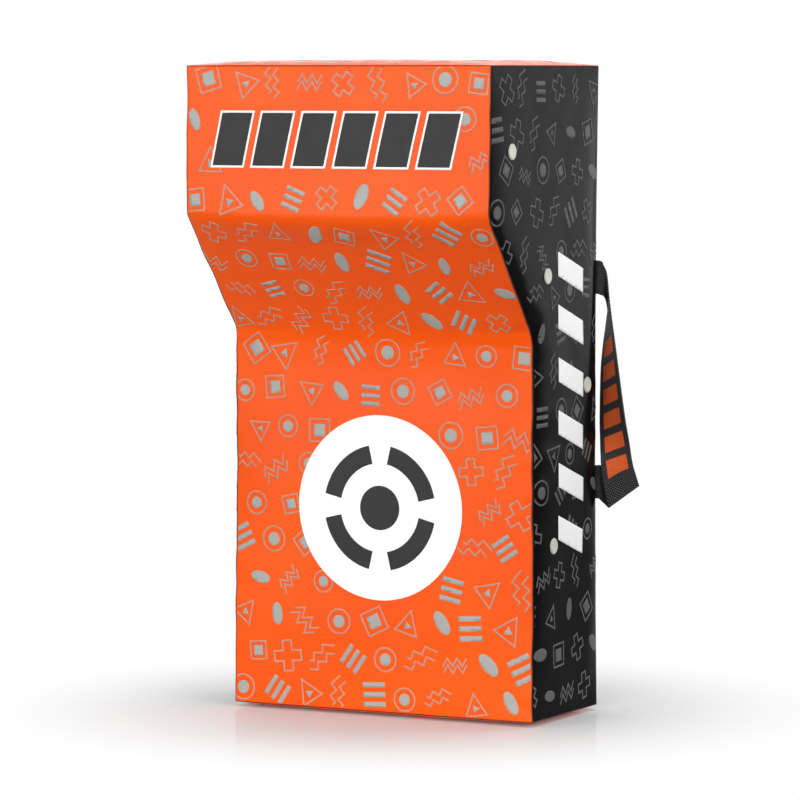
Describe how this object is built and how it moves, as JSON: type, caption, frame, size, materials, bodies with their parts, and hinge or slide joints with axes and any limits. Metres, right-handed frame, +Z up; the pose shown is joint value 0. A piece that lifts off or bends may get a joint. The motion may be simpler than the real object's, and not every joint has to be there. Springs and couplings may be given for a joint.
{
  "type": "tackle shield",
  "caption": "Rugby tackle shield: foam block with a stepped upper front in a zipped orange and black cover, with a webbing handle on each back corner.",
  "frame": {"origin": "centre of the bounding box at its bottom, on the surface that the shield stands on", "axes": "+Z up along the shield's height, -Y out of the striking front, +Y toward the holder, +X to the right seen from the front"},
  "size_m": [0.4768, 0.3355, 0.777],
  "materials": {
    "orange_cover": "satin",
    "black_cover": "satin",
    "foam": "matte",
    "board": "matte",
    "webbing": "matte",
    "zip_tape": "matte",
    "zip_teeth": "satin",
    "zip_metal": "satin",
    "stud": "satin"
  },
  "bodies": {
    "body": {"front_panel": "orange_cover", "top_panel": "orange_cover", "bottom_panel": "orange_cover", "back_panel": "black_cover", "left_side_panel": "black_cover", "right_side_panel": "black_cover", "main_foam_block": "foam", "upper_foam_wedge": "foam", "rear_foam_board": "board", "left_zip_tape": "zip_tape", "left_zip_teeth": "zip_teeth", "left_zip_stop": "zip_metal", "right_zip_tape": "zip_tape", "right_zip_teeth": "zip_teeth", "right_zip_stop": "zip_metal", "zip_end_stop": "zip_metal", "left_handle_upper_tab": "webbing", "left_handle_lower_tab": "webbing", "left_stud_1": "stud", "left_stud_washer_1": "stud", "left_stud_2": "stud", "left_stud_washer_2": "stud", "left_stud_3": "stud", "left_stud_washer_3": "stud", "left_stud_4": "stud", "left_stud_washer_4": "stud", "right_handle_upper_tab": "webbing", "right_handle_lower_tab": "webbing", "right_stud_1": "stud", "right_stud_washer_1": "stud", "right_stud_2": "stud", "right_stud_washer_2": "stud", "right_stud_3": "stud", "right_stud_washer_3": "stud", "right_stud_4": "stud", "right_stud_washer_4": "stud"},
    "right_handle": {"right_handle_loop": "webbing"},
    "left_handle": {"left_handle_loop": "webbing"},
    "slider": {"zip_slider": "zip_metal"},
    "pull": {"zip_pull_tab": "zip_metal"}
  },
  "joints": [
    {"name": "right_handle_swing", "type": "hinge", "parent": "body", "child": "right_handle", "pos_m": [0.19919, 0.12871, 0.39645], "axis": [0, 0, 1], "range_deg": [-70, 70]},
    {"name": "left_handle_swing", "type": "hinge", "parent": "body", "child": "left_handle", "pos_m": [-0.19919, 0.12871, 0.39645], "axis": [0, 0, -1], "range_deg": [-70, 70]},
    {"name": "zip_slide", "type": "slide", "parent": "body", "child": "slider", "axis": [0, 0, 1], "range_m": [0, 0.566]},
    {"name": "zip_pull_turn", "type": "hinge", "parent": "slider", "child": "pull", "pos_m": [0, 0.13303, 0.112], "axis": [1, 0, 0], "range_deg": [0, 175]}
  ]
}
